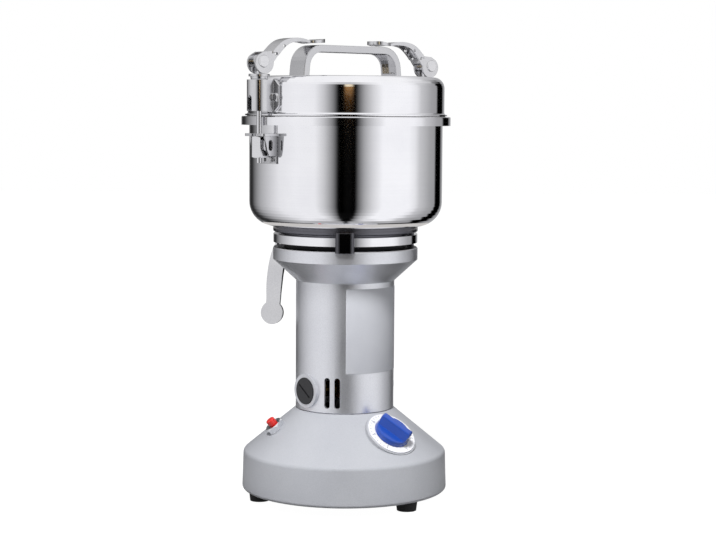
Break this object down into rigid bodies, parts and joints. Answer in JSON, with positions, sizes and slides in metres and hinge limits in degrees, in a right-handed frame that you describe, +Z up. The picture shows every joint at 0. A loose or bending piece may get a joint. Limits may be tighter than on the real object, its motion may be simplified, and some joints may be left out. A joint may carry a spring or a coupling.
{
  "type": "electric grain mill",
  "caption": "Upright electric grain mill: steel bowl and lid held by cam clamps, lock band under the bowl, cast motor column and conical base with timer knob and reset button.",
  "frame": {"origin": "on the motor axis at floor level, under the middle of the bounding box", "axes": "+Z up along the motor axis, the front towards -Y, +X to the right of a person who faces the front"},
  "size_m": [0.1916, 0.1918, 0.4231],
  "materials": {
    "cast_silver": "fine-grained silver paint on a casting",
    "cover_dark": "dark sheet",
    "rubber_black": "matte",
    "screw_steel": "plain",
    "cap_black": "satin",
    "brass": "plain",
    "carbon": "pressed carbon",
    "lamination": "stacked sheet",
    "copper": "enamelled copper wire",
    "bearing_steel": "ground",
    "fan_plastic": "moulded",
    "timer_plastic": "moulded",
    "dial_white": "printed",
    "knob_blue": "glossy",
    "button_red": "glossy",
    "chrome_trim": "polished",
    "adapter_grey": "dark satin",
    "polished_steel": "polished",
    "gasket_pale": "translucent silicone",
    "seal_black": "matte"
  },
  "bodies": {
    "mill": {"base_shell": "cast_silver", "base_plate": "cover_dark", "rubber_feet": "rubber_black", "foot_screws": "screw_steel", "cord_grommet": "rubber_black", "motor_housing": "cast_silver", "brush_caps": "cap_black", "brush_holders": "brass", "brush_springs": "screw_steel", "carbon_brushes": "carbon", "stator_core": "lamination", "stator_windings": "copper", "lower_bearing_bracket": "lamination", "lower_bearing": "bearing_steel", "upper_bearing": "bearing_steel", "timer_body": "timer_plastic", "timer_dial": "dial_white", "overload_protector": "cap_black", "reset_bezel": "chrome_trim", "bowl_adapter": "adapter_grey", "adapter_screws": "screw_steel", "lock_band": "polished_steel", "band_posts": "adapter_grey", "band_lever_block": "adapter_grey", "bowl": "polished_steel", "shaft_seal": "seal_black", "catch_left": "polished_steel", "catch_right": "polished_steel", "lid_gasket": "gasket_pale", "lid_shell": "polished_steel", "lid_handle": "polished_steel", "handle_screws": "screw_steel", "clamp_bracket_left": "polished_steel", "clamp_bracket_right": "polished_steel"},
    "rotor": {"motor_shaft": "bearing_steel", "armature_core": "lamination", "armature_windings": "copper", "commutator": "copper", "cooling_fan": "fan_plastic", "lower_blade": "polished_steel", "middle_blade": "polished_steel", "upper_blade": "polished_steel", "blade_spacers": "polished_steel", "blade_nut": "polished_steel"},
    "timer_knob": {"timer_knob": "knob_blue"},
    "reset_button": {"reset_button": "button_red"},
    "band_lever": {"band_lever": "polished_steel", "band_pin": "polished_steel"},
    "clamp_left_tilt": {"clamp_collar_left": "polished_steel"},
    "clamp_left_rod": {"clamp_rod_left": "polished_steel", "clamp_nut_left": "polished_steel"},
    "clamp_left_lever": {"clamp_lever_left": "polished_steel", "clamp_pin_left": "polished_steel"},
    "clamp_right_tilt": {"clamp_collar_right": "polished_steel"},
    "clamp_right_rod": {"clamp_rod_right": "polished_steel", "clamp_nut_right": "polished_steel"},
    "clamp_right_lever": {"clamp_lever_right": "polished_steel", "clamp_pin_right": "polished_steel"}
  },
  "joints": [
    {"name": "rotor_spin", "type": "hinge", "parent": "mill", "child": "rotor", "pos_m": [0, 0, 0.28], "axis": [0, 0, 1], "continuous": true},
    {"name": "timer_knob_turn", "type": "hinge", "parent": "mill", "child": "timer_knob", "pos_m": [0.04242, -0.05055, 0.06766], "axis": [-0.4096, 0.4882, -0.7707], "range_deg": [0, 300]},
    {"name": "reset_button_press", "type": "slide", "parent": "mill", "child": "reset_button", "axis": [0.5988, 0.2179, -0.7707], "range_m": [0, 0.002], "stiffness_N_per_m": 300},
    {"name": "band_lever_swing", "type": "hinge", "parent": "mill", "child": "band_lever", "pos_m": [-0.05755, 0.05557, 0.24235], "axis": [0.9527, -0.2913, -0.0872], "range_deg": [0, 80]},
    {"name": "clamp_left_tilt", "type": "hinge", "parent": "mill", "child": "clamp_left_tilt", "pos_m": [-0.07599, -0.06377, 0.388], "axis": [-0.6428, 0.766, 0], "range_deg": [0, 17]},
    {"name": "clamp_left_rod", "type": "slide", "parent": "clamp_left_tilt", "child": "clamp_left_rod", "axis": [0, 0, -1], "range_m": [0, 0.0035]},
    {"name": "clamp_left_lever", "type": "hinge", "parent": "clamp_left_rod", "child": "clamp_left_lever", "pos_m": [-0.07599, -0.06377, 0.4015], "axis": [0.6428, -0.766, 0], "range_deg": [0, 150]},
    {"name": "clamp_right_tilt", "type": "hinge", "parent": "mill", "child": "clamp_right_tilt", "pos_m": [0.07599, 0.06377, 0.388], "axis": [0.6428, -0.766, 0], "range_deg": [0, 17]},
    {"name": "clamp_right_rod", "type": "slide", "parent": "clamp_right_tilt", "child": "clamp_right_rod", "axis": [0, 0, -1], "range_m": [0, 0.0035]},
    {"name": "clamp_right_lever", "type": "hinge", "parent": "clamp_right_rod", "child": "clamp_right_lever", "pos_m": [0.07599, 0.06377, 0.4015], "axis": [-0.6428, 0.766, 0], "range_deg": [0, 150]}
  ],
  "couplings": [
    {"joint": "clamp_left_rod", "follows": "clamp_left_lever", "m_per_rad": 0.0013369},
    {"joint": "clamp_left_tilt", "follows": "clamp_left_lever", "ratio": 0.11333},
    {"joint": "clamp_right_rod", "follows": "clamp_right_lever", "m_per_rad": 0.0013369},
    {"joint": "clamp_right_tilt", "follows": "clamp_right_lever", "ratio": 0.11333}
  ]
}
